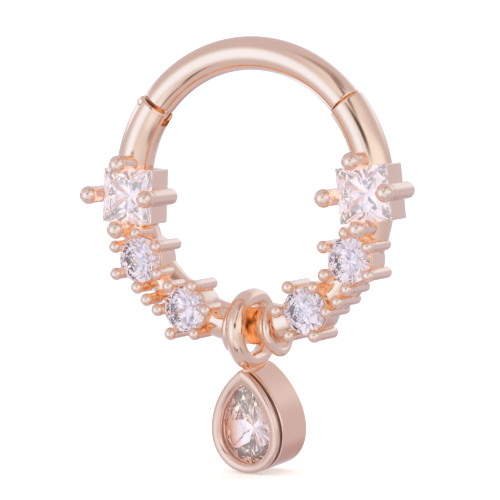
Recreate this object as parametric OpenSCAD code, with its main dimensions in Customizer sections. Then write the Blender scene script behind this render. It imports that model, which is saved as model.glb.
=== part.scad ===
// Hinged nose hoop with claw-set stones and a pear drop.
// Millimetres, +Z up, the wearer's front is -Y. The origin is the top of the gate's centreline,
// where the hoop passes through the piercing and hangs from it.

/* [Hoop] */
// Radius of the hoop's centreline
hoop_r = 4.6; // [4.3:0.1:5.6]
// Diameter of the fixed arc's wire
arc_d = 1.28; // [1.2:0.02:1.3]
// Diameter of the gate's wire, the part that goes through the piercing
gate_d = 1.14; // [1.04:0.02:1.2]
// Angle of the latch end of the gate, counted from +X
latch_angle = 38; // [32:1:44]
// Angle of the hinge end of the gate
hinge_angle = 138.8; // [134:0.2:144]
// Width of the joint line at the hinge
hinge_gap = 0.1; // [0.06:0.01:0.12]
// Width of the joint line at the latch
latch_gap = 0.06; // [0.03:0.01:0.08]

/* [Hinge and latch] */
// Diameter of the hinge pin
pin_d = 0.24; // [0.2:0.02:0.28]
// Distance of the pin outwards from the hoop's centreline
pin_out = 0.41; // [0.38:0.01:0.43]
// Distance of the pin from the gate's end face
pin_back = 0.3; // [0.28:0.01:0.34]
// Thickness of the gate's hinge tongue
tongue_t = 0.4; // [0.3:0.02:0.5]
// Thickness of the latch tongue
latch_t = 0.3; // [0.2:0.02:0.4]
// Length of the latch tongue beyond the gate's end face
latch_l = 0.22; // [0.15:0.01:0.3]

/* [Claw settings] */
// Radius on which the round settings' centres lie
head_r = 4.59; // [4.5:0.01:4.64]
// Angle of the upper round settings below the hoop's centre, and from them to the lower ones
head_step = 30.2; // [29.8:0.1:31]
// Radius on which the two extra beads lie
bead_r = 5.14; // [5.05:0.01:5.2]

/* [Square settings] */
// Radius on which the square settings' centres lie
square_r = 4.48; // [4.4:0.01:4.6]
// Angle of the square settings below the hoop's centre
square_angle = 1.8; // [0:0.1:2]
// Side of the square stones
square_side = 1.86; // [1.7:0.02:1.9]
// Distance of the square setting's claws from its centre
square_claw_r = 1.11; // [1.08:0.01:1.2]
// Diameter of its claws
square_claw_d = 0.57; // [0.5:0.01:0.6]
// Diameter of the beads on its claws
square_bead_d = 0.63; // [0.58:0.01:0.66]
// Distance of those beads in front of the hoop's middle plane
square_front = 1.4; // [1.3:0.01:1.45]
// Turn of the square settings, which leans their tops inwards
square_turn = 6; // [0:1:10]

/* [Round settings] */
// Diameter of the round stones
round_d = 1.56; // [1.4:0.01:1.58]
// Distance of the round setting's claws from its centre
round_claw_r = 0.93; // [0.91:0.01:0.98]
// Diameter of its claws
round_claw_d = 0.39; // [0.34:0.01:0.4]
// Diameter of the beads on its claws
round_bead_d = 0.44; // [0.4:0.01:0.48]
// Distance of those beads in front of the hoop's middle plane
round_front = 1.11; // [1.05:0.01:1.25]

/* [Collars] */
// Distance of each collar from the middle of the bottom bar, along the hoop's centreline
collar_x = 0.75; // [0.72:0.01:0.9]
// Outer diameter of a collar
collar_d = 1.84; // [1.7:0.01:1.9]
// Thickness of a collar's wire
collar_wire = 0.33; // [0.28:0.01:0.36]
// Distance by which the left collar hangs below the bar's centreline
collar_drop_left = 0.08; // [0:0.01:0.22]
// Distance by which the right collar hangs below it
collar_drop_right = 0.18; // [0.1:0.01:0.22]

/* [Drop] */
// Place of the drop along the bottom bar
drop_x = -0.2; // [-0.22:0.01:0.22]
// Angle by which the drop hangs back
drop_lean = 5; // [0:0.5:8]
// Height of the bail, an oval loop with half a ring at its front and at its back
bail_d = 2.7; // [2.6:0.05:3]
// Length of the straight runs between its half rings, at the top and the foot
bail_run = 0.3; // [0.1:0.02:0.5]
// Diameter of the bail's wire
bail_wire = 0.58; // [0.5:0.01:0.6]
// Width of the bezel
bezel_w = 2.72; // [2.5:0.02:2.9]
// Height of the bezel, from its tip to its foot
bezel_h = 3.58; // [3.3:0.01:3.8]
// Depth of the bezel, from its front rim to its back edge
bezel_depth = 1.74; // [1.5:0.02:1.9]
// Distance of the bail's middle plane behind the bezel's
bail_back = 0; // [-0.1:0.02:0.3]
// Angle by which the bezel's front is turned to -X, soldered askew on the bail
bezel_twist = 8; // [0:0.5:10]

/* [Hidden] */

rose_gold = [0.90, 0.70, 0.62];
clear_pink = [0.96, 0.90, 0.90];
clear_blue = [0.88, 0.88, 0.95];

// Turns one way round the hoop: right = 1, left = -1
RIGHT = 1;
LEFT = -1;

// Fineness of round shapes, and a length that passes through everything
round_fn = 96;
through = 6;

arc_r = arc_d / 2;
gate_r = gate_d / 2;

// Joint clearances: pin pressed into the cheeks, pin running in the tongue, tongue in its slot
pin_fit = 0.005;
pin_run = 0.02;
slot_run = 0.03;
// Radius of the tongue's rounded end and of the cheeks' rounded corners about the pin
tongue_r = 0.2;
cheek_r = pin_back - hinge_gap - 0.015;
// How far the hinge tongue reaches inwards from the centreline, how far its flat part passes
// the pin, half the latch tongue's height across the wire, and how deep both root in the gate
tongue_in = 0.5;
tongue_past = 0.14;
latch_half = 0.2;
root = 0.2;
// Room outside the latch tongue, which swings outwards about the hinge as it leaves its slot
latch_swing = (latch_l + latch_gap) / tan((hinge_angle - latch_angle) / 2);

// Depths are counted along Y, from the front at -Y to the back at +Y
square_girdle = -0.72;
square_basket = [-0.64, 0.5];
square_back = 0.4;
round_girdle = -0.9;
round_basket = [-0.8, 0.22];
round_back = 0.36;
// Wall of the round basket beyond the stone's edge
basket_wall = 0.05;
// Clearance between a stone and its seat, and how much deeper than the stone's back the seat is cut
seat_gap = 0.015;
seat_deep = 1.12;
// Radius of the flat at the bottom of a seat
seat_foot = 0.05;
// How far the claws are notched in front of a stone's edge, over its crown
seat_notch = 0.08;
girdle_t = 0.05;

// Proportions of the cut stones, as parts of the stone's half width, one row for each cut
CUT_TABLE = 0;
CUT_STAR = 1;
CUT_LOWER = 2;
CUT_CROWN = 3;
CUT_BACK = 4;
ROUND_CUT = [0.56, 0.8, 0.24, 0.3, 0.86];
SQUARE_CUT = [0.6, 0.82, 0.5, 0.26, 0.92];
// Bow of the square cut's table, and how far its star and lower points stand out of its planes
table_bow = 0.04;
star_lift = 1.15;
lower_lift = 1.1;

// The drop turns about the middle of the bar. Its loop's top rests on the bar.
bail_r = bail_d / 2;
rest_gap = 0.02;
bail_hang = bail_r - bail_wire - arc_r - rest_gap;
drop_z = -hoop_r - sqrt(hoop_r * hoop_r - drop_x * drop_x);
// Overlap of the bail with the bezel's tip where they are soldered
solder = 0.1;
bezel_tip = -bail_hang - bail_r + solder;
bezel_front = -bail_back - bezel_depth / 2;

// Exponent of the pear's outline: 0 is a round end and 1 has a sharp tip
pear_power = 0.55;
pear_sides = 48;
// Greatest width that the outline's formula gives, which the real width is divided by
pear_norm = max([for (t = [80 : 1 : 120]) sin(t) * pow(sin(t / 2), pear_power)]);
// An inset of the rim counts this much more at the tip, and less at the foot
tip_inset = 1.4;
foot_inset = 0.92;

// Section of the bezel's wall, once round, as [inset from the outline, distance behind the front]
BEZEL_WALL = [
    [0, bezel_depth], [0, 0.12], [0.03, 0.04], [0.1, 0], [0.24, 0.01], [0.34, 0.08],
    [0.36, 0.16], [0.27, 0.26], [0.27, 0.42], [0.45, 0.6], [0.45, bezel_depth]
];
// The pear stone's edge, table and lower points as insets, and its depths behind the rim
pear_edge = 0.29;
pear_star = 0.42;
pear_table = 0.62;
pear_lower = 1.02;
pear_girdle = 0.31;
pear_crown = 0.2;
pear_back = 0.86;
// Height of the pear stone's point above the foot, as a part of the bezel's height
pear_point = 0.42;

// Moves its children from a place on the hoop to the row frame. There X points outwards,
// Y to the back and Z round the hoop, anticlockwise as the wearer's front shows it.
module on_hoop(angle, radius = hoop_r) {
    translate([0, 0, -hoop_r])
        rotate([0, -angle, 0])
            translate([radius, 0, 0]) children();
}

// An arc of round wire on the hoop's centreline
module hoop_wire(radius, from, to) {
    translate([0, 0, -hoop_r])
        rotate([90, 0, 0]) rotate([0, 0, from])
            rotate_extrude(angle = to - from, $fn = 2 * round_fn)
                translate([hoop_r, 0]) circle(r = radius, $fn = round_fn);
}

// A cylinder along Y between two depths
module along_y(r, from, to) {
    translate([0, to, 0]) rotate([90, 0, 0]) cylinder(r = r, h = to - from, $fn = round_fn);
}

// A box between two corners
module box(low, high) {
    translate(low) cube(high - low);
}

// The place round the hoop of an angle below its centre, on one side
function below(side, angle) = side == RIGHT ? -angle : 180 + angle;

// Moves its children to the square setting of one side, with its turn
module at_square(side) {
    on_hoop(below(side, square_angle), square_r) rotate([0, -side * square_turn, 0]) children();
}

// A claw: a rod along Y with a bead on its front end
module claw(rod_d, bead_d, front, back) {
    along_y(rod_d / 2, -front, back);
    translate([0, -front, 0]) sphere(d = bead_d, $fn = round_fn);
}

module square_claws() {
    for (turn = [0 : 90 : 270])
        rotate([0, turn, 0]) translate([square_claw_r, 0, 0])
            claw(square_claw_d, square_bead_d, square_front, square_back);
}

module round_claws() {
    for (turn = [0 : 60 : 300])
        rotate([0, turn, 0]) translate([round_claw_r, 0, 0])
            claw(round_claw_d, round_bead_d, round_front, round_back);
}

module square_basket() {
    half = square_side / 2;
    box([-half, square_basket[0], -half], [half, square_basket[1], half]);
}

module round_basket() {
    along_y(round_d / 2 + basket_wall, round_basket[0], round_basket[1]);
}

// The room cut for a square stone: its edge and its back
module square_seat() {
    half = square_side / 2 + seat_gap;
    reach = square_girdle + girdle_t + seat_gap;
    box([-half, square_girdle - seat_notch, -half], [half, reach, half]);
    translate([0, reach, 0]) rotate([-90, 0, 0]) rotate([0, 0, 45])
        cylinder(r1 = half * sqrt(2), r2 = seat_foot, h = half * SQUARE_CUT[CUT_BACK] * seat_deep, $fn = 4);
}

// The room cut for a round stone
module round_seat() {
    edge = round_d / 2 + seat_gap;
    reach = round_girdle + girdle_t + seat_gap;
    along_y(edge, round_girdle - seat_notch, reach);
    translate([0, reach, 0]) rotate([-90, 0, 0])
        cylinder(r1 = edge, r2 = seat_foot, h = edge * ROUND_CUT[CUT_BACK] * seat_deep, $fn = round_fn);
}

// A collar: a ring of wire soldered round the bar, with a disc that fills it
module collar(drop) {
    ring_r = (collar_d - collar_wire) / 2;
    translate([drop, 0, 0]) {
        rotate_extrude($fn = round_fn)
            translate([ring_r, 0]) circle(d = collar_wire, $fn = round_fn / 2);
        cylinder(r = ring_r, h = collar_wire / 2, center = true, $fn = round_fn);
    }
}

// The place of the hinge pin, on the hoop's end face at the hinge
module at_pin() {
    on_hoop(hinge_angle) translate([pin_out, 0, pin_back]) children();
}

// What is cut from the fixed arc for the hinge: the slot for the tongue, the outer corners
// that the opening gate passes, and the pin's hole
module hinge_cut() {
    half = tongue_t / 2 + slot_run;
    on_hoop(hinge_angle) {
        box([-through / 4, -half, -through / 8],
            [through / 4, half, pin_back + tongue_r + slot_run]);
        difference() {
            box([pin_out, -through / 4, -through / 8], [through / 4, through / 4, pin_back]);
            translate([pin_out, 0, pin_back]) along_y(cheek_r, -through / 2, through / 2);
        }
    }
    at_pin() along_y(pin_d / 2 + pin_fit, -through / 4, through / 4);
}

// The slot that takes the gate's latch tongue, hidden in the end of the fixed arc
module latch_slot() {
    half = latch_t / 2 + slot_run;
    reach = latch_half + slot_run;
    on_hoop(latch_angle)
        box([-reach, -half, -latch_l - latch_gap], [reach + latch_swing, half, root]);
}

// The fixed arc with its settings, beads and collars, cast and soldered as one
module hoop_frame() {
    hinge_trim = hinge_gap / hoop_r * 180 / PI;
    color(rose_gold) difference() {
        union() {
            hoop_wire(arc_r, hinge_angle + hinge_trim, 360 + latch_angle);
            for (side = [LEFT, RIGHT]) {
                at_square(side) {
                    square_basket();
                    square_claws();
                }
                for (row = [1, 2]) on_hoop(below(side, row * head_step), head_r) {
                    round_basket();
                    round_claws();
                }
                on_hoop(below(side, 1.5 * head_step), bead_r)
                    claw(round_claw_d, round_bead_d, round_front, round_back);
                on_hoop(-90 + side * collar_x / hoop_r * 180 / PI)
                    collar(side == LEFT ? collar_drop_left : collar_drop_right);
            }
        }
        for (side = [LEFT, RIGHT]) {
            at_square(side) square_seat();
            for (row = [1, 2]) on_hoop(below(side, row * head_step), head_r) round_seat();
        }
        hinge_cut();
        latch_slot();
    }
}

// The gate: a plain arc of wire with a hinge tongue at one end and a latch tongue at the other
module gate() {
    latch_trim = latch_gap / hoop_r * 180 / PI;
    color(rose_gold) difference() {
        union() {
            hoop_wire(gate_r, latch_angle + latch_trim, hinge_angle);
            on_hoop(hinge_angle) {
                box([-tongue_in, -tongue_t / 2, -root],
                    [pin_out + tongue_r / 2, tongue_t / 2, pin_back + tongue_past]);
                translate([pin_out, 0, pin_back]) along_y(tongue_r, -tongue_t / 2, tongue_t / 2);
            }
            on_hoop(latch_angle)
                box([-latch_half, -latch_t / 2, -latch_l], [latch_half, latch_t / 2, root]);
        }
        at_pin() along_y(pin_d / 2 + pin_run, -through / 4, through / 4);
    }
}

// The hinge pin, filed flush with the wire
module hinge_pin() {
    color(rose_gold) intersection() {
        at_pin() along_y(pin_d / 2, -arc_r, arc_r);
        hoop_wire(arc_r, hinge_angle - 5, hinge_angle + 15);
    }
}

// One ring of a cut stone's points at a height. edge gives the outline at an angle.
function ring(count, start, z, edge) =
    [for (i = [0 : count - 1]) let (p = edge(start + i * 360 / count)) [p[0], p[1], z]];

// A cut stone on any outline, with its table towards its own +Z and its edge at height 0:
// a table of 8 corners, 8 stars, 8 main and 16 small facets in front, and the same behind,
// where they meet in a point. The four outlines are the edge, table, stars and lower points,
// and the heights are those of the table, the stars, the lower points and the point.
module cut_stone(edge, table, star, lower, heights) {
    STAR = 8;
    UPPER = 16;
    LOWER = 32;
    BACK = 48;
    POINT = 56;
    points = concat(
        ring(8, 0, heights[0], table),
        ring(8, 22.5, heights[1], star),
        ring(16, 0, 0, edge),
        ring(16, 0, -girdle_t, edge),
        ring(8, 22.5, heights[2], lower),
        [[0, 0, heights[3]]]
    );
    facets = [for (i = [0 : 7]) let (next = (i + 1) % 8, before = (i + 7) % 8) each [
        [i, next, STAR + i],
        [i, STAR + i, UPPER + 2 * i],
        [i, UPPER + 2 * i, STAR + before],
        [STAR + i, UPPER + 2 * i + 1, UPPER + 2 * i],
        [STAR + i, UPPER + 2 * next, UPPER + 2 * i + 1],
        [BACK + i, LOWER + 2 * i, LOWER + 2 * i + 1],
        [BACK + i, LOWER + 2 * i + 1, LOWER + 2 * next],
        [POINT, LOWER + 2 * i, BACK + i],
        [POINT, BACK + before, LOWER + 2 * i]
    ]];
    girdle = [for (i = [0 : 15]) let (next = (i + 1) % 16) each [
        [UPPER + i, LOWER + next, LOWER + i],
        [UPPER + i, UPPER + next, LOWER + next]
    ]];
    polyhedron(points, concat(facets, girdle, [[7, 6, 5, 4, 3, 2, 1, 0]]));
}

// Outlines of a stone of a given half width at an angle. bow makes a square's sides stand out.
function round_edge(r, a) = r * [cos(a), sin(a)];
function square_edge(r, a, bow = 0) =
    r * (1 + bow * cos(4 * a)) / max(abs(cos(a)), abs(sin(a))) * [cos(a), sin(a)];

module round_stone(side, row) {
    r = round_d / 2;
    cut = r * ROUND_CUT;
    heights = [
        cut[CUT_CROWN],
        cut[CUT_CROWN] * (r - cut[CUT_STAR] * cos(22.5)) / (r - cut[CUT_TABLE]),
        -girdle_t - cut[CUT_BACK] * (1 - cut[CUT_LOWER] * cos(22.5) / r),
        -girdle_t - cut[CUT_BACK]
    ];
    color(clear_blue) on_hoop(below(side, row * head_step), head_r)
        translate([0, round_girdle, 0]) rotate([90, 0, 0])
            cut_stone(
                function (a) round_edge(r, a),
                function (a) round_edge(cut[CUT_TABLE], a),
                function (a) round_edge(cut[CUT_STAR], a),
                function (a) round_edge(cut[CUT_LOWER], a),
                heights
            );
}

module square_stone(side) {
    r = square_side / 2;
    cut = r * SQUARE_CUT;
    heights = [
        cut[CUT_CROWN],
        cut[CUT_CROWN] * (r - cut[CUT_STAR]) / (r - cut[CUT_TABLE]) * star_lift,
        -girdle_t - cut[CUT_BACK] * (1 - cut[CUT_LOWER] / r) * lower_lift,
        -girdle_t - cut[CUT_BACK]
    ];
    color(clear_pink) at_square(side)
        translate([0, square_girdle, 0]) rotate([90, 0, 0])
            cut_stone(
                function (a) square_edge(r, a),
                function (a) square_edge(cut[CUT_TABLE], a, table_bow),
                function (a) square_edge(cut[CUT_STAR], a),
                function (a) square_edge(cut[CUT_LOWER], a),
                heights
            );
}

// Moves its children from the drop's own frame, with the bar's middle at 0 and the drop
// hanging down, to where the drop hangs
module on_drop() {
    translate([drop_x, 0, drop_z]) rotate([drop_lean, 0, 0]) children();
}

// The pear's outline at a given inset, as [x, z] with the tip at 0. The angle runs from the
// tip at 0, past the foot at 180, and back.
function pear(inset, t) =
    let (top = -tip_inset * inset, foot = -bezel_h + foot_inset * inset)
    [
        -(bezel_w / 2 - inset) * sin(t) * pow(sin(t / 2), pear_power) / pear_norm,
        top + (foot - top) * (1 - cos(t)) / 2
    ];

// Turns its children, the bezel or its stone, about the upright line through the bezel's tip
module twisted() {
    rotate([0, 0, -bezel_twist]) children();
}

// The bezel: the wall's section carried once round the pear's outline
module bezel() {
    n = len(BEZEL_WALL);
    points = [for (i = [0 : pear_sides - 1]) for (wall = BEZEL_WALL)
        let (p = pear(wall[0], i * 360 / pear_sides)) [p[0], bezel_front + wall[1], bezel_tip + p[1]]];
    faces = [for (i = [0 : pear_sides - 1]) for (j = [0 : n - 1])
        let (a = i * n, b = (i + 1) % pear_sides * n, k = (j + 1) % n) each [
            [a + j, a + k, b + j],
            [a + k, b + k, b + j]
        ]];
    polyhedron(points, faces);
}

// The bail: two half rings of wire and the straight runs between them
module bail() {
    ring_r = bail_r - bail_wire / 2;
    for (end = [0, 1]) {
        mirror([0, end, 0]) translate([0, bail_run / 2, 0])
            rotate([0, 90, 0]) rotate_extrude(angle = 180, $fn = 2 * round_fn)
                translate([ring_r, 0]) circle(d = bail_wire, $fn = round_fn);
        mirror([0, 0, end]) translate([0, 0, ring_r])
            along_y(bail_wire / 2, -bail_run / 2, bail_run / 2);
    }
}

// The drop's metal: the bail soldered on the bezel's tip
module drop_setting() {
    color(rose_gold) on_drop() {
        twisted() bezel();
        translate([0, 0, -bail_hang]) bail();
    }
}

module pear_stone() {
    point = [0, -bezel_h * (1 - pear_point)];
    scale_in = pear_crown * (pear_table - pear_star) / (pear_table - pear_edge);
    heights = [pear_crown, scale_in * 1.1, -girdle_t - pear_back * 0.72, -girdle_t - pear_back];
    color(clear_pink) on_drop() twisted()
        translate([0, bezel_front + pear_girdle, bezel_tip + point[1]]) rotate([90, 0, 0])
            cut_stone(
                function (a) pear(pear_edge, a) - point,
                function (a) pear(pear_table, a) - point,
                function (a) pear(pear_star, a) - point,
                function (a) pear(pear_lower, a) - point,
                heights
            );
}

hoop_frame();
gate();
hinge_pin();
square_stone(LEFT);  // square_stone_left
square_stone(RIGHT);  // square_stone_right
round_stone(LEFT, 1);  // round_stone_left_upper
round_stone(RIGHT, 1);  // round_stone_right_upper
round_stone(LEFT, 2);  // round_stone_left_lower
round_stone(RIGHT, 2);  // round_stone_right_lower
drop_setting();
pear_stone();
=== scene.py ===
import bpy
import numpy as np
from mathutils import Matrix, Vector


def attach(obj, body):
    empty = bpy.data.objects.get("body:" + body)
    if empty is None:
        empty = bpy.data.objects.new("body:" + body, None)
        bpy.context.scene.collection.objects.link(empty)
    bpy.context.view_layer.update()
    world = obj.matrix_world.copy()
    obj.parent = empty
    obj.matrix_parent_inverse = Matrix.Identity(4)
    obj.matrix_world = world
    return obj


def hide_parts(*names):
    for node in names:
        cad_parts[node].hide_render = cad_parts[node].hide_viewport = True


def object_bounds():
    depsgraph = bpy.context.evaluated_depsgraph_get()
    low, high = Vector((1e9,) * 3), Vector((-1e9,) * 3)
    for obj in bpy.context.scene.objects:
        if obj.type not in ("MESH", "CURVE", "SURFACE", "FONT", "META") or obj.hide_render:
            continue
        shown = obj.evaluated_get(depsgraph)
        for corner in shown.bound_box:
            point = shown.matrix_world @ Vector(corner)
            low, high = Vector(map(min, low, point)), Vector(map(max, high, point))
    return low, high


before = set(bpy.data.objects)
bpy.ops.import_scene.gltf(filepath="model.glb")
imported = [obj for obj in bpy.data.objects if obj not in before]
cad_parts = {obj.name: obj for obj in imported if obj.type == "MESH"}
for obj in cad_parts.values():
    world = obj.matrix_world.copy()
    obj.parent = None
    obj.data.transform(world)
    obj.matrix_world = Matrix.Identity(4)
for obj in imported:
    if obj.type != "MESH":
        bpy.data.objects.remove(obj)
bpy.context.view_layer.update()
MM = 0.001

# The fixed arc is round brass wire, bent to three quarters of a circle and plated with rose
# gold. One end is slotted for the gate's hinge tongue and the other for its latch tongue. The
# settings, beads and collars below are cast and soldered onto it.
HOOP_R = 4.6
ARC_R = 0.64
LATCH_END = 38.0
HINGE_END = 138.8
HINGE_LINE = 0.1
LATCH_LINE = 0.06
END_ROUND = 0.05
HINGE_ROUND = 0.12
AROUND = 96
CREASE = 32.0


class Value:
    """A number, colour or vector in a material. Arithmetic on it adds Math nodes."""

    def __init__(self, tree, socket=None):
        self.tree, self.socket = tree, socket

    def node(self, kind, settings=(), out=0, **inputs):
        """Adds a node of a kind with its settings. Inputs are named by their sockets, or _0 and _1
        by their places, and out names or counts the socket that is given back."""
        made = self.tree.nodes.new("ShaderNode" + kind)
        for name, value in dict(settings).items():
            if name == "stops":
                ramp = made.color_ramp.elements
                while len(ramp) < len(value):
                    ramp.new(0.5)
                for stop, (place, colour) in zip(ramp, value):
                    stop.position, stop.color = place, colour
            else:
                setattr(made, name, value)
        for name, value in inputs.items():
            socket = made.inputs[int(name[1:]) if name[0] == "_" else name.replace("_", " ")]
            if isinstance(value, Value):
                self.tree.links.new(value.socket, socket)
            else:
                socket.default_value = value
        return Value(self.tree, made.outputs[out])

    def math(self, operation, *values):
        """A Math node's result for an operation on values."""
        inputs = {f"_{place}": value for place, value in enumerate(values)}
        return self.node("Math", {"operation": operation}, **inputs)

    def mix(self, part, first, second):
        """The second colour's part over the first. A colour is a value or three numbers."""
        first, second = (c if isinstance(c, Value) else (*c, 1) for c in (first, second))
        return self.node("Mix", {"data_type": "RGBA"}, out=2, _0=part, _6=first, _7=second)

    def __add__(self, other):
        return self.math("ADD", self, other)

    def __sub__(self, other):
        return self.math("SUBTRACT", self, other)

    def __rsub__(self, other):
        return self.math("SUBTRACT", other, self)

    def __mul__(self, other):
        return self.math("MULTIPLY", self, other)

    def __truediv__(self, other):
        return self.math("DIVIDE", self, other)

    __radd__ = __add__
    __rmul__ = __mul__


def surface(name):
    """A new material, its tree ready for nodes, and a call that gives it its shader's sockets."""
    material = bpy.data.materials.new(name)
    material.use_nodes = True
    material.node_tree.nodes.clear()
    tree = Value(material.node_tree)

    def finish(**sockets):
        shader = tree.node("BsdfPrincipled", **sockets)
        output = material.node_tree.nodes.new("ShaderNodeOutputMaterial")
        material.node_tree.links.new(shader.socket, output.inputs["Surface"])
        return material

    return tree, finish


BLACK = (0.0, 0.0, 0.0)
# The painted reflection's colours by how bright a patch is, and the painted shade that darkens it
# between two heights: dark up the bar, lighter over it, and dark again from the hoop's level middle
# to the joints
PAINTED_REFLECTION = [(0.14, (0.14, 0.07, 0.06, 1)), (0.28, (0.60, 0.28, 0.09, 1)),
        (0.4, (0.92, 0.66, 0.38, 1)), (0.54, (1.2, 1.0, 0.84, 1))]
LEAST_SHADE = 0.07
PAINTED_REFLECTION_SHADE = [(-9.9, -9.0, 0.12), (-8.5, -8.0, -0.18), (-4.6, -3.0, 0.24)]
# The dark tone of the painted shade in the bezel's groove, a little of which also darkens its rim
PAINTED_SHADE_TONE = (0.40, 0.25, 0.21)


def rose_gold_plating(name, low, high, smoothest, ripple):
    """Rose-gold plating: its tone drifts between two colours over a piece, and the polishing
    leaves it not quite flat, by a ripple's height in metres. Where a piece's attribute says so it
    is
    painted toward a dark tone: painted shade in the bezel's groove, and a little darker on its rim.
    What metal mirrors of metal that mirrors metal is no further reflection but a painted
    reflection:
    an orange glow in patches, with painted shade that darkens it in the joints at the top and deep
    on the bar's upper side. A noise's scale is how often it changes in a metre, so the tone drifts
    over 2 mm, and the dents are 0.4 mm."""
    tree, finish = surface(name)
    place = tree.node("TexCoord", out=3)
    drift = tree.node("TexNoise", Vector=place, Scale=420.0, Detail=2.0)
    tone = tree.node("ValToRGB", {"stops": [(0.35, (*low, 1)), (0.65, (*high, 1))]}, _0=drift)
    wheel = tree.node("TexNoise", Vector=place, Scale=2600.0, Detail=3.0, Roughness=0.6)
    wave = tree.node("Bump", Strength=0.25, Distance=ripple, Height=wheel)
    # Painted shade: a piece's attribute mixes in the dark tone, fully in the bezel's groove and a
    # little on its rim
    dull = tree.node("Attribute", {"attribute_name": "dull"}, out=2)
    tone = tree.mix(dull, tone, PAINTED_SHADE_TONE)
    # Painted reflection: noise patches glow orange where metal mirrors metal, darkened by painted
    # shade between heights
    patches = tree.node("TexNoise", Vector=place, Scale=1700.0, Detail=1.0)
    height = tree.node("SeparateXYZ", out=2, _0=place)
    shade = LEAST_SHADE
    for start, end, change in PAINTED_REFLECTION_SHADE:
        shade = shade + tree.node("MapRange", _0=height, _1=start * MM, _2=end * MM) * change
    painted_reflection = tree.node("ValToRGB", {"stops": PAINTED_REFLECTION}, _0=patches - shade)
    # The depth counts the mirrors that a ray has met, so past 1.5 it has met two or more
    twice = tree.math("GREATER_THAN", tree.node("LightPath", out="Glossy Depth"), 1.5)
    # Rays that have met two mirrors see black plating with the painted reflection glowing in its
    # place
    return finish(Base_Color=tree.mix(twice, tone, BLACK), Metallic=1.0,
                  Roughness=wheel * 0.05 + smoothest, Emission_Color=tree.mix(twice, BLACK, painted_reflection),
                  Emission_Strength=1.0, Normal=wave)


rose_gold = rose_gold_plating("rose_gold_wire", low=(0.915, 0.585, 0.39), high=(0.93, 0.605, 0.41),
                              smoothest=0.075, ripple=4e-6)


def shell(rings, ends=True):
    """Closed skin over a stack of rings, array (rings, points, 3): each ring is joined to the
    next by quads, and the first and last close in fans on their middles, or, without ends, are
    joined to each other. Faces are turned round if the volume they enclose comes out negative."""
    n, m = rings.shape[:2]
    points = rings.reshape(-1, 3)
    place = np.arange(n * m).reshape(n, m)
    if not ends:
        place = np.vstack([place, place[:1]])
    beside = np.roll(place, -1, 1)
    quads = np.stack([place[:-1], beside[:-1], beside[1:], place[1:]], -1).reshape(-1, 4)
    fans = np.zeros((0, 3), int)
    if ends:
        points = np.vstack([points, rings[0].mean(0), rings[-1].mean(0)])
        first = np.stack([np.full(m, n * m), beside[0], place[0]], -1)
        last = np.stack([np.full(m, n * m + 1), place[-1], beside[-1]], -1)
        fans = np.vstack([first, last])
    a, b, c = (points[quads[:, i]] for i in (0, 1, 2))
    d = points[quads[:, 3]]
    volume = (np.cross(a, b) * c).sum() + (np.cross(a, c) * d).sum()
    volume += (np.cross(points[fans[:, 0]], points[fans[:, 1]]) * points[fans[:, 2]]).sum()
    if volume < 0:
        quads, fans = quads[:, ::-1], fans[:, ::-1]
    return points, quads, fans


def as_mesh(name, skins):
    """One mesh of several skins, smooth but for edges sharper than the crease."""
    shift, points, faces = 0, [], []
    for p, quads, fans in skins:
        points.append(p)
        faces += (quads + shift).tolist() + (fans + shift).tolist()
        shift += len(p)
    mesh = bpy.data.meshes.new(name)
    mesh.from_pydata(np.vstack(points) * MM, [], faces)
    mesh.shade_smooth()
    mesh.set_sharp_from_angle(angle=np.radians(CREASE))
    return mesh


def piece(name, skins, body, *nodes, material=rose_gold):
    """One mesh object of several skins. It rides on a body and stands for the CAD nodes."""
    mesh = as_mesh(name, skins)
    mesh.materials.append(material)
    made = bpy.data.objects.new(name, mesh)
    bpy.context.scene.collection.objects.link(made)
    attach(made, body)
    if nodes:
        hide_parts(*nodes)
    return made


def cut(made, skin):
    """Cuts a solid out of a piece with a Boolean, which is applied, and takes the tool away."""
    tool = bpy.data.objects.new("tool", as_mesh("tool", [skin]))
    bpy.context.scene.collection.objects.link(tool)
    made.modifiers.new("cut", "BOOLEAN").object = tool
    whole = made.evaluated_get(bpy.context.evaluated_depsgraph_get())
    mesh = bpy.data.meshes.new_from_object(whole)
    made.modifiers.clear()
    made.data = mesh
    mesh.set_sharp_from_angle(angle=np.radians(CREASE))
    bpy.data.objects.remove(tool)


def place_on_hoop(angle, radius):
    """Where a place on the hoop is: its point, and the directions outwards and round the hoop."""
    t = np.radians(angle)
    out = np.stack([np.cos(t), 0 * t, np.sin(t)], -1)
    along = np.stack([-np.sin(t), 0 * t, np.cos(t)], -1)
    return radius * out + [0, 0, -HOOP_R], out, along


def on_hoop(points, angle, radius, turn=0.0):
    """Moves local points, X outwards, Y to the back and Z round the hoop, to a place on it."""
    middle, out, along = place_on_hoop(np.float64(angle), radius)
    w = np.radians(turn)
    first, second = np.cos(w) * out + np.sin(w) * along, np.cos(w) * along - np.sin(w) * out
    x, y, z = points[..., :1], points[..., 1:2], points[..., 2:]
    return middle + x * first + y * [0, 1, 0] + z * second


def rounded_end(radius, edge, steps=7):
    """Place and radius of the rings at a rod's end: from the flat end face out along a quarter
    circle to the full rod."""
    t = np.linspace(0, np.pi / 2, steps)
    corner = np.stack([edge * (1 - np.sin(t)), radius - edge * (1 - np.cos(t))], -1)[::-1]
    return np.vstack([[0, radius * 0.3], corner])


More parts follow.
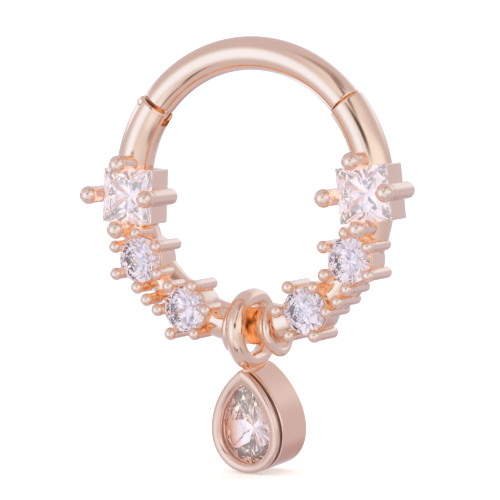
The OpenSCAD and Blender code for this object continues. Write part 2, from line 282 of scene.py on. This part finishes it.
def wire_arc(low, high, radius, low_edge, high_edge, step=0.04):
    """Round wire bent along the hoop between two angles: circles across the centreline, their
    radius drawn in at both ends."""
    length = np.radians(high - low) * HOOP_R
    start, stop = rounded_end(radius, low_edge), rounded_end(radius, high_edge)[::-1]
    stop[:, 0] = length - stop[:, 0]
    body = np.arange(start[-1, 0] + step, stop[0, 0] - step, step)
    ring = np.vstack([start, np.stack([body, np.full_like(body, radius)], -1), stop])
    angle = low + np.degrees(ring[:, 0] / HOOP_R)
    middle, out, _ = place_on_hoop(angle, HOOP_R)
    t = np.linspace(0, 2 * np.pi, AROUND, endpoint=False)[None, :, None]
    across = np.cos(t) * out[:, None] + np.sin(t) * np.array([0, 1, 0])
    return shell(middle[:, None] + ring[:, 1, None, None] * across)


def plate(outline, low, high, edge=0.0):
    """A flat plate: an outline in X and Z between two depths, its edges rounded over by drawing
    the outline in towards its middle."""
    middle = outline.mean(0)
    rings = []
    bevel = [(0, edge), (edge * 0.3, edge * 0.3), (edge, 0)]
    depths = [(low + run, inset) for run, inset in bevel]
    depths += [(high - run, inset) for run, inset in bevel[::-1]]
    for depth, inset in depths:
        flat = middle + (outline - middle) * (1 - inset / np.abs(outline - middle).max())
        rings.append(np.stack([flat[:, 0], np.full(len(flat), depth), flat[:, 1]], -1))
    return np.stack(rings)


def oblong(low, high):
    """A rectangle's outline between two corners: its middle, and half its sizes each way."""
    middle, half = (np.array(high) + low) / 2, (np.array(high) - low) / 2
    return middle + np.array([[1, 1], [-1, 1], [-1, -1], [1, -1]]) * half


def disc(middle, radius, count=48):
    """A circle's outline about a middle."""
    t = np.linspace(0, 2 * np.pi, count, endpoint=False)[:, None]
    return np.array(middle) + radius * np.hstack([np.cos(t), np.sin(t)])


hinge_trim, latch_trim = np.degrees(HINGE_LINE / HOOP_R), np.degrees(LATCH_LINE / HOOP_R)
bent_wire = wire_arc(HINGE_END + hinge_trim, 360 + LATCH_END, ARC_R, HINGE_ROUND, END_ROUND)
fixed_arc = piece("fixed_arc", [bent_wire], "hoop", "hoop_frame")

# The hinge's slot and its pin's hole, the corners that the gate passes as it opens, and the
# latch's slot
PIN_OUT, PIN_BACK, PIN_R = 0.41, 0.3, 0.12
PIN_GAP = 0.005
TONGUE_R, TONGUE_HALF, TONGUE_GAP = 0.2, 0.2, 0.03
CHEEK_R = PIN_BACK - HINGE_LINE - TONGUE_GAP / 2
LATCH_HALF, LATCH_HIGH, LATCH_DEEP = 0.15, 0.2, 0.22
RUN_ON = 0.2
FAR = 2.0
slot = plate(oblong((-FAR / 2, -FAR / 4), (FAR / 2, PIN_BACK + TONGUE_R + TONGUE_GAP)),
             -TONGUE_HALF - TONGUE_GAP, TONGUE_HALF + TONGUE_GAP)
bore = plate(disc((PIN_OUT, PIN_BACK), PIN_R + PIN_GAP), -FAR, FAR)
# The corners' cut is a sector about the pin: rectangles that turn from below it to beside it
t = np.linspace(-np.pi / 2, 0, 16)[:, None]
near, reach = CHEEK_R + 0 * t, FAR + 0 * t
radius, deep = np.hstack([near, reach, reach, near]), np.array([-FAR, -FAR, FAR, FAR]) + 0 * t
corner = np.stack([PIN_OUT + radius * np.cos(t), deep, PIN_BACK + radius * np.sin(t)], -1)
# The latch's tongue swings out of its pocket on a slant, so the pocket is longer outwards
slant = (LATCH_DEEP + LATCH_LINE) / np.tan(np.radians(HINGE_END - LATCH_END) / 2)
pocket = plate(oblong((-LATCH_HIGH - TONGUE_GAP, -LATCH_DEEP - LATCH_LINE),
                      (LATCH_HIGH + TONGUE_GAP + slant, RUN_ON)),
               -LATCH_HALF - TONGUE_GAP, LATCH_HALF + TONGUE_GAP)
for tool, end in ((corner, HINGE_END), (slot, HINGE_END), (bore, HINGE_END), (pocket, LATCH_END)):
    cut(fixed_arc, shell(on_hoop(tool, end, HOOP_R)))

# Two collars keep the drop in the middle of the bar. Each is cast as a round ring that a thinner
# disc fills, and is soldered round the bar. They hang a little lower than the bar's middle.
COLLAR_AT = 0.75
COLLAR_R = 0.92
COLLAR_WIRE = 0.33
COLLAR_DROPS = {-1: 0.08, 1: 0.18}


def turned(profile, count=AROUND):
    """A turned part about local Y: each profile row is a depth and a radius, and each gives one
    circle of points."""
    t = np.linspace(0, 2 * np.pi, count, endpoint=False)
    depth, radius = np.asarray(profile, float).T
    return np.stack([radius[:, None] * np.cos(t), np.repeat(depth[:, None], count, 1),
                     radius[:, None] * np.sin(t)], -1)


def rolled(points, *axes):
    """The points with their axes taken in another order."""
    return points[..., list(axes)]


def wire_ring(radius, wire, count=160, across=40):
    """A ring of round wire about local Y, as circles across a larger circle."""
    t = np.linspace(0, 2 * np.pi, count, endpoint=False)[:, None]
    s = np.linspace(0, 2 * np.pi, across, endpoint=False)[None]
    reach = radius - wire / 2 + wire / 2 * np.cos(s)
    return np.stack([reach * np.cos(t), wire / 2 * np.sin(s) + 0 * t, reach * np.sin(t)], -1)


collars = []
for side, drop in COLLAR_DROPS.items():
    at = -90 + side * np.degrees(COLLAR_AT / HOOP_R)
    ring = rolled(wire_ring(COLLAR_R, COLLAR_WIRE), 0, 2, 1) + [drop, 0, 0]
    half, rim = COLLAR_WIRE / 4, COLLAR_R - COLLAR_WIRE / 2
    web = turned([[-half, 0.1], [-half, rim], [half, rim], [half, 0.1]])
    web = rolled(web, 0, 2, 1) + [drop, 0, 0]
    collars += [shell(on_hoop(ring, at, HOOP_R), ends=False), shell(on_hoop(web, at, HOOP_R))]
# Cast parts are tumbled, not polished on a wheel, and stay softer and lighter than the wire
cast_gold = rose_gold_plating("rose_gold_cast", low=(0.93, 0.62, 0.44), high=(0.945, 0.64, 0.46),
                              smoothest=0.2, ripple=8e-6)

piece("collars", collars, "hoop", material=cast_gold)

# Each setting is a cast basket with a hollow for the stone's back, and claws that stand round
# it: short rods whose front ends are melted into beads over the stone's edge.
SQUARE_AT, SQUARE_R, SQUARE_TURN = 1.8, 4.48, 6.0
SQUARE_CORNER = 0.05
ROUND_STEP, ROUND_R = 30.2, 4.59
EXTRA_STEP, EXTRA_R = 1.5, 5.14
SQUARE_CLAW = {"rod": 0.285, "bead": 0.315, "front": 1.4, "back": 0.4}
ROUND_CLAW = {"rod": 0.195, "bead": 0.22, "front": 1.11, "back": 0.36}
SQUARE_CLAWS_OUT, ROUND_CLAWS_OUT = 1.11, 0.93
# Depths and half widths, or radii, of the baskets: from the back face out over its edge, up the
# wall, over the thin rim, and down into the hollow for the stone's back
SQUARE_BASKET = [(0.5, 0.45), (0.5, 0.87), (0.49, 0.905), (0.46, 0.925), (0.43, 0.93),
                 (-0.62, 0.93), (-0.635, 0.927), (-0.64, 0.92), (-0.635, 0.91), (0.31, 0.035)]
ROUND_BASKET = [(0.22, 0.4), (0.22, 0.76), (0.21, 0.8), (0.18, 0.825), (0.15, 0.83), (-0.77, 0.83),
                (-0.79, 0.825), (-0.8, 0.81), (-0.795, 0.775), (-0.78, 0.745), (-0.075, 0.035)]
# The seats are drilled through the arc for the stones' backs
SQUARE_SEAT = [(-0.8, 0.945), (-0.655, 0.945), (0.319, 0.04)]
ROUND_SEAT = [(-1.04, 0.3), (-1.04, 0.795), (-0.835, 0.795), (-0.069, 0.05)]


def claw(rod, bead, front, back):
    """A claw about local Y, of a rod's and a bead's radius, with the bead's middle so far in front
    and the rod's end so far behind: the bead is part of a circle, drawn in to a neck, then the rod
    runs straight to its rounded back end."""
    t = np.radians(np.linspace(4, 122, 40))
    head = np.stack([-front - bead * np.cos(t), bead * np.sin(t)], -1)
    behind, width = head[-1]
    neck = np.array([[behind + 0.02, width * 0.985], [behind + 0.06, rod * 0.94],
                     [behind + 0.11, rod * 0.985], [behind + 0.17, rod]])
    end = rounded_end(rod, 0.09)[::-1] * [-1, 1] + [back, 0]
    return turned(np.vstack([head, neck, [[0, rod]], end]), 48)


def rounded_square(half, corner, steps):
    """A square's outline with round corners: quarter circles about the four inset corners."""
    t = np.concatenate([np.linspace(q, q + np.pi / 2, steps) for q in np.arange(4) * np.pi / 2])
    quarter = np.repeat(np.arange(4) * np.pi / 2 + np.pi / 4, steps)
    inner = (half - corner) * np.sqrt(2)
    return np.stack([inner * np.cos(quarter) + corner * np.cos(t),
                     inner * np.sin(quarter) + corner * np.sin(t)], -1)


def squared(profile, corner, steps=8):
    """Squares with round corners along local Y: each profile row is a depth and a half width."""
    rings = []
    for depth, half in profile:
        flat = rounded_square(half, min(corner, half * 0.9), steps)
        rings.append(np.stack([flat[:, 0], np.full(len(flat), depth), flat[:, 1]], -1))
    return np.stack(rings)


def down_from_level(side, angle):
    """The hoop's angle at a place on its right, 1, or left, -1, so far below the level middle."""
    return -angle if side > 0 else 180 + angle


def claws(count, out, sizes):
    """Claws of the same sizes in a circle about local Y, at equal angles."""
    turns = np.arange(count) * 2 * np.pi / count
    return [claw(**sizes) + out * np.array([np.cos(a), 0, np.sin(a)]) for a in turns]


square_parts = [squared(SQUARE_BASKET, SQUARE_CORNER)] + claws(4, SQUARE_CLAWS_OUT, SQUARE_CLAW)
round_parts = [turned(ROUND_BASKET)] + claws(6, ROUND_CLAWS_OUT, ROUND_CLAW)

seats = []
for side in (-1, 1):
    at = down_from_level(side, SQUARE_AT)
    seats.append(on_hoop(squared(SQUARE_SEAT, 0.0, 1), at, SQUARE_R, side * SQUARE_TURN))
    for row in (1, 2):
        at = down_from_level(side, ROUND_STEP * row)
        seats.append(on_hoop(turned(ROUND_SEAT, 64), at, ROUND_R))
for seat in seats:
    cut(fixed_arc, shell(seat))

for side, name in ((-1, "left"), (1, "right")):
    at = down_from_level(side, SQUARE_AT)
    skins = [shell(on_hoop(part, at, SQUARE_R, side * SQUARE_TURN)) for part in square_parts]
    piece("square_setting_" + name, skins, "hoop", material=cast_gold)
    for row, level in ((1, "upper"), (2, "lower")):
        at = down_from_level(side, ROUND_STEP * row)
        skins = [shell(on_hoop(part, at, ROUND_R)) for part in round_parts]
        piece(f"round_setting_{name}_{level}", skins, "hoop", material=cast_gold)
    at = down_from_level(side, ROUND_STEP * EXTRA_STEP)
    skins = [shell(on_hoop(claw(**ROUND_CLAW), at, EXTRA_R))]
    piece("extra_claw_" + name, skins, "hoop", material=cast_gold)

# The stones are cut crystals: a square one at the top of each side, two round ones below it, and
# a pear in the drop. The claws' beads hold them in their baskets, and the bezel's rim the pear.
# The painted light that metal mirrors in a stone's facets, some of it brighter than white
PAINTED_FACET_LIGHT = [(0.25, (0.8, 0.72, 0.88, 1)), (0.75, (2.1, 2.1, 2.4, 1))]


def crystal(name, clear, deep, painted_glint, painted_haze, sheen, painted_glow, painted_bezel_reflection=()):
    """A clear stone: its colour, partly its own tint and partly painted fire, differs a little from
    patch to patch, and a painted glow of its own, for the camera and for metal that mirrors it,
    stands in for the light that a bright room sends back through it. A painted reflection of the
    bezel's warm walls colours it along an axis, from one place to another."""
    tree, finish = surface(name)
    place = tree.node("TexCoord", out=3)
    # The stone's colour: its own tint, varied from patch to patch as painted fire
    cells = tree.node("TexVoronoi", out="Color", Vector=place, Scale=3500.0)
    tint = tree.node("ValToRGB", {"stops": [(0.3, (*deep, 1)), (0.7, (*clear, 1))]},
                     _0=tree.node("SeparateColor", out=0, Color=cells))
    # Painted light: the glints and haze that the facets glow with
    facet = tree.node("TexVoronoi", out="Color", Vector=place, Scale=2600.0)
    painted_light = tree.node("ValToRGB", {"stops": [(0.2, (*painted_glint, 1)), (0.8, (*painted_haze, 1))]},
                      _0=tree.node("SeparateColor", out=1, Color=facet))
    # Painted reflection: the bezel's warm walls tint the stone's edges, in its colour and in its
    # glow
    for axis, start, end, tinted, lit in painted_bezel_reflection:
        across = tree.node("MapRange", _0=tree.node("SeparateXYZ", out=axis, _0=place),
                           _1=start * MM, _2=end * MM)
        tint, painted_light = tree.mix(across, tint, tinted), tree.mix(across, painted_light, lit)
    # Painted light: the facets glow toward the camera, and glow brighter for metal that mirrors
    # them from outside
    seen = tree.mix(tree.node("LightPath", out="Is Camera Ray"), BLACK, painted_light)
    outside = tree.math("LESS_THAN", tree.node("LightPath", out="Transmission Depth"), 0.5)
    mirrored = tree.node("ValToRGB", {"stops": PAINTED_FACET_LIGHT},
                         _0=tree.node("SeparateColor", out=2, Color=facet))
    seen = tree.mix(tree.node("LightPath", out="Is Glossy Ray") * outside, seen, mirrored)
    return finish(Base_Color=tint, Roughness=0.0, IOR=2.15, Transmission_Weight=1.0,
                  Specular_Tint=(*sheen, 1), Emission_Color=seen, Emission_Strength=painted_glow)


crystals = {
    "square": crystal("square_crystal", clear=(0.64, 0.56, 0.57), deep=(0.54, 0.45, 0.47),
                      painted_glint=(0.88, 0.81, 0.86), painted_haze=(0.76, 0.67, 0.73), sheen=(1.0, 0.72, 0.52),
                      painted_glow=0.42),
    "round": crystal("round_crystal", clear=(0.82, 0.78, 0.82), deep=(0.68, 0.60, 0.66),
                     painted_glint=(0.8, 0.72, 0.80), painted_haze=(0.5, 0.38, 0.44), sheen=(1.0, 0.72, 0.55),
                     painted_glow=0.15),
    "pear": crystal("pear_crystal", clear=(0.76, 0.80, 0.92), deep=(0.66, 0.60, 0.66),
                    painted_glint=(0.88, 0.82, 0.84), painted_haze=(0.74, 0.54, 0.56), sheen=(1.0, 0.66, 0.48),
                    painted_glow=0.29, painted_bezel_reflection=[(0, 0.1, 0.5, (0.52, 0.40, 0.41), (0.70, 0.48, 0.48)),
                                      (0, -0.5, -0.95, (0.40, 0.19, 0.13), (0.60, 0.24, 0.13)),
                                      (2, -13.35, -13.7, (0.50, 0.30, 0.26), (0.56, 0.28, 0.22))]),
}
for name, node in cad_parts.items():
    if "stone" in name:
        node.data.materials.clear()
        node.data.materials.append(crystals[name.split("_")[0]])

# The gate is the plain arc that goes through the piercing, of slightly thinner wire with the same
# plating. A hinge tongue is soldered into one end, and a latch tongue into the other.
GATE_R = 0.57
TONGUE_IN, TONGUE_PAST_PIN, TONGUE_EDGE = 0.5, 0.14, 0.02
tongue = plate(oblong((-TONGUE_IN, -RUN_ON), (PIN_OUT + TONGUE_R / 2, PIN_BACK + TONGUE_PAST_PIN)),
               -TONGUE_HALF, TONGUE_HALF, TONGUE_EDGE)
knuckle = plate(disc((PIN_OUT, PIN_BACK), TONGUE_R), -TONGUE_HALF, TONGUE_HALF, TONGUE_EDGE)
catch = plate(oblong((-LATCH_HIGH, -LATCH_DEEP), (LATCH_HIGH, RUN_ON)),
              -LATCH_HALF, LATCH_HALF, TONGUE_EDGE)
skins = [wire_arc(LATCH_END + latch_trim, HINGE_END, GATE_R, END_ROUND, END_ROUND)]
for part, end in ((tongue, HINGE_END), (knuckle, HINGE_END), (catch, LATCH_END)):
    skins.append(shell(on_hoop(part, end, HOOP_R)))
piece("gate_arc", skins, "gate", "gate")

# The hinge's pin is a short length of hard wire, plated as the rest. It goes through the slot's
# two cheeks and the tongue, and its ends are filed to the arc's curve and polished with it.
reach = np.sqrt(ARC_R ** 2 - PIN_OUT ** 2)
filed = [(-reach, 0.03), (-reach + 0.005, PIN_R * 0.8), (-reach + 0.02, PIN_R),
         (reach - 0.02, PIN_R), (reach - 0.005, PIN_R * 0.8), (reach, 0.03)]
pin = on_hoop(turned(filed, 48) + [PIN_OUT, 0, PIN_BACK], HINGE_END, HOOP_R)
piece("hinge_pin_filed", [shell(pin)], "hoop", "hinge_pin")

# The drop is a pear-shaped bezel, a cast wall whose front edge is burnished over the stone. Its
# tip is soldered to the bail, a loop of plated wire that hangs on the bar between the collars.
DROP_AT, DROP_LEAN = np.array([-0.2, 0, -9.19565]), 5.0
BEZEL_W, BEZEL_H, BEZEL_DEPTH, BEZEL_TWIST = 2.8, 3.61, 1.74, 8.0
BEZEL_SKEW = 0.022
BAIL_R, BAIL_WIRE, BAIL_RUN, BAIL_WIDER = 1.35, 0.58, 0.3, 1.14
RUN_BLEND = 0.12
BAIL_GAP, TIP_SUNK = 0.02, 0.1
BAIL_HANG = BAIL_R - BAIL_WIRE - ARC_R - BAIL_GAP
BEZEL_TIP = -BAIL_HANG - BAIL_R + TIP_SUNK
BEZEL_FRONT = -BEZEL_DEPTH / 2
PEAR_POWER = 0.55
TIP_INSET, FOOT_INSET = 1.4, 0.92


def on_drop(points):
    """Moves points of the drop's own frame to where it hangs, turned about the bar."""
    w = np.radians(DROP_LEAN)
    x, y, z = np.moveaxis(points, -1, 0)
    return DROP_AT + np.stack([x, y * np.cos(w) - z * np.sin(w), y * np.sin(w) + z * np.cos(w)], -1)


def twisted(points):
    """Turns the bezel about the upright line through its tip, as it is soldered a little askew."""
    w = np.radians(-BEZEL_TWIST)
    x, y, z = np.moveaxis(points, -1, 0)
    return np.stack([x * np.cos(w) - y * np.sin(w), x * np.sin(w) + y * np.cos(w), z], -1)


def pear(inset, t):
    """The pear's outline at an inset: height falls from tip to foot as a cosine, and the width
    is a sine, drawn in near the tip by a power of the half angle's sine."""
    width = np.sin(t) * np.sin(t / 2) ** PEAR_POWER
    top, foot = -TIP_INSET * inset, -BEZEL_H + FOOT_INSET * inset
    sample = np.radians(np.linspace(80, 120, 41))
    widest = (np.sin(sample) * np.sin(sample / 2) ** PEAR_POWER).max()
    return np.stack([-(BEZEL_W / 2 - inset) * width / widest,
                     top + (foot - top) * (1 - np.cos(t)) / 2], -1)


def smoothed(section, times=2):
    """A closed outline with its corners cut, each side keeping its middle half."""
    for _ in range(times):
        after = np.roll(section, -1, 0)
        pairs = np.stack([0.75 * section + 0.25 * after, 0.25 * section + 0.75 * after], 1)
        section = pairs.reshape(-1, 2)
    return section


# The wall's section, as insets from the outline and depths from the front: from the back up the
# outside, round the groove and over the rim, down to the stone's ledge and on to the back
WALL = np.array([[0.05, BEZEL_DEPTH], [0, BEZEL_DEPTH], [0, BEZEL_DEPTH - 0.06], [0, 0.54],
                 [0, 0.44], [0.01, 0.385], [0.04, 0.36], [0.1, 0.355], [0.12, 0.34], [0.12, 0.22],
                 [0.1, 0.2], [0.05, 0.2], [0.02, 0.185], [0.01, 0.15], [0.015, 0.09], [0.05, 0.03],
                 [0.12, 0], [0.27, 0.01], [0.37, 0.08], [0.39, 0.16], [0.3, 0.26], [0.3, 0.42],
                 [0.48, 0.6], [0.48, BEZEL_DEPTH - 0.06], [0.48, BEZEL_DEPTH]])
section = smoothed(WALL)
# The bezel is the pear at each of the section's insets, set at its depth and leaning a little
around = np.linspace(0, 2 * np.pi, 240, endpoint=False)
rings = []
for inset, depth in section:
    x, z = pear(inset, around).T
    y = np.full_like(x, BEZEL_FRONT + depth)
    rings.append(np.stack([x + BEZEL_SKEW * z, y, BEZEL_TIP + z], -1))
bezel = shell(on_drop(twisted(np.stack(rings))), ends=False)
# The bail is a wire ring, widened along the bar and drawn apart in depth by a straight run
loop = rolled(wire_ring(BAIL_R, BAIL_WIRE), 1, 0, 2) * [BAIL_WIDER, 1, 1]
front_or_back = np.clip(loop[..., 1].mean(1, keepdims=True) / RUN_BLEND, -1, 1)
loop[..., 1] += front_or_back * BAIL_RUN / 2
bail = shell(on_drop(loop + [0, 0, -BAIL_HANG]), ends=False)
# Solder fills the corners between the bail's foot and the bezel's tip: a turned bead whose radius
# falls off with the fourth power of the depth
SOLDER_HALF, SOLDER_R = 0.82, 0.17
t = np.linspace(-0.97, 0.97, 25)
solder = turned(np.stack([SOLDER_HALF * t, SOLDER_R * (1 - t ** 4) ** 0.5], -1), 40)
solder += [0, 0.02, BEZEL_TIP - 0.07]
piece("drop_bail", [bail, shell(on_drop(solder))], "drop")
bezel_gold = rose_gold_plating("rose_gold_bezel", low=(0.92, 0.56, 0.375),
                               high=(0.935, 0.58, 0.395), smoothest=0.17, ripple=8e-6)
drop_bezel = piece("drop_bezel", [bezel], "drop", "drop_setting", material=bezel_gold)
# The groove behind the rim is painted dark, as painted shade in the recess, and the rim is
# painted a little darker than the wall
GROOVE_AT, GROOVE_HALF, GROOVE_INSET = 0.28, 0.1, 0.035
RIM_DEPTH, RIM_DARKENING = 0.2, 0.12
inset, depth = section.T
darkened = np.where(depth < RIM_DEPTH, RIM_DARKENING, 0.0)
darkened[(inset > GROOVE_INSET) & (abs(depth - GROOVE_AT) < GROOVE_HALF)] = 1.0
dull = drop_bezel.data.attributes.new("dull", "FLOAT", "POINT")
dull.data.foreach_set("value", np.repeat(darkened, len(around)))

# A pale paper floor runs up into a backdrop. The light is the world's: an even light tent with
# soft bright and dark cards in it, which polished metal picks out.
AZIMUTH, ELEVATION, ROLL = np.radians([28.05, 3.9, -1.9])
VIEW_X = np.array([np.cos(AZIMUTH), np.sin(AZIMUTH), 0])
VIEW_Z = np.array([np.sin(AZIMUTH) * np.cos(ELEVATION), -np.cos(AZIMUTH) * np.cos(ELEVATION),
                   np.sin(ELEVATION)])
VIEW_Y = np.cross(VIEW_Z, VIEW_X)
ACROSS = VIEW_X * np.cos(ROLL) + VIEW_Y * np.sin(ROLL)
UPWARDS = -VIEW_X * np.sin(ROLL) + VIEW_Y * np.cos(ROLL)

# The floor's profile is level, then a quarter circle, then upright, carried along a straight line
FLOOR_REACH, BEND_AT, BEND_R = 400, 150, 60
floor_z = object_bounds()[0][2] / MM - 0.02
away = -VIEW_Z * [1, 1, 0] / np.linalg.norm(VIEW_Z[:2])
turn = np.radians(np.linspace(0, 90, 24))
reach = np.concatenate([[-FLOOR_REACH], BEND_AT + BEND_R * np.sin(turn), [BEND_AT + BEND_R]])
rise = np.concatenate([[0], BEND_R * (1 - np.cos(turn)), [FLOOR_REACH]])
u = np.linspace(-FLOOR_REACH, FLOOR_REACH, 9)
grid = reach[:, None, None] * away + u[None, :, None] * VIEW_X
grid += (rise[:, None, None] + floor_z) * np.array([0, 0, 1])
index = np.arange(grid.shape[0] * grid.shape[1]).reshape(grid.shape[:2])
quads = np.stack([index[:-1, :-1], index[:-1, 1:], index[1:, 1:], index[1:, :-1]], -1)
mesh = bpy.data.meshes.new("floor")
mesh.from_pydata(grid.reshape(-1, 3) * MM, [], quads.reshape(-1, 4).tolist())
mesh.shade_smooth()
tree, finish = surface("pale_paper")
grain = tree.node("TexNoise", Vector=tree.node("TexCoord", out=3), Scale=300.0)
shades = [(0.3, (0.86, 0.85, 0.83, 1)), (0.7, (0.88, 0.87, 0.85, 1))]
mesh.materials.append(finish(Base_Color=tree.node("ValToRGB", {"stops": shades}, _0=grain),
                             Roughness=0.9, Emission_Color=(1, 0.98, 0.96, 1),
                             Emission_Strength=0.35))
floor = bpy.data.objects.new("floor", mesh)
bpy.context.scene.collection.objects.link(floor)
floor.visible_glossy = False
floor.visible_transmission = False

world = bpy.data.worlds.new("studio")
world.use_nodes = True
world.node_tree.nodes.clear()
sky = Value(world.node_tree)
direction = sky.node("TexCoord", out=0)


def along(axis):
    """How far the light's direction runs along an axis, as their dot product."""
    return sky.node("VectorMath", {"operation": "DOT_PRODUCT"}, out=1, _0=direction, _1=tuple(axis))


x, y, z = along(ACROSS), along(UPWARDS), along(VIEW_Z)
longitude = sky.math("ARCTAN2", x, z) * (180 / np.pi)
latitude = sky.math("ARCSINE", y) * (180 / np.pi)


def card(below, right, up, wide, high, tilt, colour):
    """Lays a soft-edged oval card of a colour over the room: its middle's angles from the camera's
    direction, its half sizes and its tilt, all in degrees. Its cover falls off as the exponent of
    the fourth power of the distance from its middle."""
    c, d = np.cos(np.radians(tilt)), np.sin(np.radians(tilt))
    beside, above = longitude - right, latitude - up
    u, v = (beside * c + above * d) / wide, (above * c - beside * d) / high
    off = u * u + v * v
    cover = sky.math("EXPONENT", off * off * -1)
    return sky.mix(cover, below, colour)


# The cards, each over those before it: bright ones for the tent's lamps, and narrow dark ones for
# its gaps and the camera, which the metal shows as brown lines
WALLS = (0.68, 0.73, 0.94)
CARDS = [
    (14, 46, 48, 22, 0, (0.86, 1.00, 1.24)),
    (0, -36, 60, 22, 0, (0.82, 0.93, 1.14)),
    (-4, 6, 40, 30, 0, (0.98, 1.20, 1.46)),
    (-62, -2, 30, 34, 0, (0.88, 1.10, 1.42)),
    (-56, -3, 20, 28, 0, (1.02, 1.42, 2.05)),
    (44, 10, 40, 16, 0, (1.04, 1.28, 1.58)),
    (-12, -39, 34, 8, -20, (1.0, 1.22, 1.60)),
    (-130, 17, 25, 6, 0, (1.1, 1.4, 2.0)),
    (-145, -25, 22, 9, 0, (1.0, 1.4, 2.0)),
    (25, 68, 60, 11, 0, (0.50, 0.45, 0.50)),
    (2, 38, 22, 7, 60, (0.34, 0.28, 0.32)),
    (25, 57, 22, 7, 15, (0.36, 0.31, 0.36)),
    (50, -43, 24, 7, 0, (0.42, 0.42, 0.58)),
    (-9, -57, 15, 4.5, 25, (0.20, 0.12, 0.13)),
    (-38, -55, 19, 4.5, -30, (0.22, 0.13, 0.14)),
    (-14, 12, 13, 9, 0, (0.12, 0.10, 0.13)),
    (142, 28, 34, 13, 0, (0.96, 1.18, 1.5)),
    (150, -30, 40, 13, 0, (0.54, 0.48, 0.58)),
]
room = WALLS
for right, up, wide, high, tilt, colour in CARDS:
    room = card(room, right, up, wide, high, tilt, colour)
room = sky.node("Background", Color=room, Strength=1.0)
# Seen through the stones, the room is bright with scattered dark gaps, as the facets of real
# crystals pick it out
gaps = sky.node("TexNoise", Vector=direction, Scale=3.4, Detail=1.0)
spots = [(0.34, (0.16, 0.11, 0.20, 1)), (0.43, (0.62, 0.57, 0.66, 1)),
         (0.55, (1.10, 1.06, 1.08, 1))]
spots = sky.node("ValToRGB", {"stops": spots}, _0=gaps)
sparkle = sky.node("Background", Color=spots, Strength=1.0)
plain = sky.node("Background", Color=(1.0, 0.99, 0.98, 1), Strength=1.0)
mirrored = sky.node("LightPath", out="Is Glossy Ray")
through = sky.node("LightPath", out="Is Transmission Ray")
outside = sky.node("MixShader", _0=mirrored, _1=plain, _2=room)
mixed = sky.node("MixShader", _0=through, _1=outside, _2=sparkle)
output = world.node_tree.nodes.new("ShaderNodeOutputWorld")
world.node_tree.links.new(mixed.socket, output.inputs["Surface"])
bpy.context.scene.world = world

# The photograph was taken from the wearer's left and a little above, with a long lens. The lens
# is given in pixels of the frame, and the shift moves the camera itself, not its lens.
DISTANCE = 100.0
LENS_PX = 2968.5
FRAME_PX = 500
SENSOR = 36.0
SHIFT_X, SHIFT_Y = -0.079, -2.026
camera_data = bpy.data.cameras.new("camera")
camera = bpy.data.objects.new("camera", camera_data)
bpy.context.scene.collection.objects.link(camera)
target = np.array([0, 0, -HOOP_R]) + ACROSS * SHIFT_X + UPWARDS * SHIFT_Y
matrix = np.eye(4)
matrix[:3, 0], matrix[:3, 1], matrix[:3, 2] = ACROSS, UPWARDS, VIEW_Z
matrix[:3, 3] = (target + VIEW_Z * DISTANCE) * MM
camera.matrix_world = Matrix(matrix)
camera_data.sensor_width = SENSOR
camera_data.lens = LENS_PX / FRAME_PX * SENSOR
camera_data.clip_start = 0.001
camera_data.clip_end = 5.0
bpy.context.scene.camera = camera
bpy.context.scene.view_settings.view_transform = "Standard"
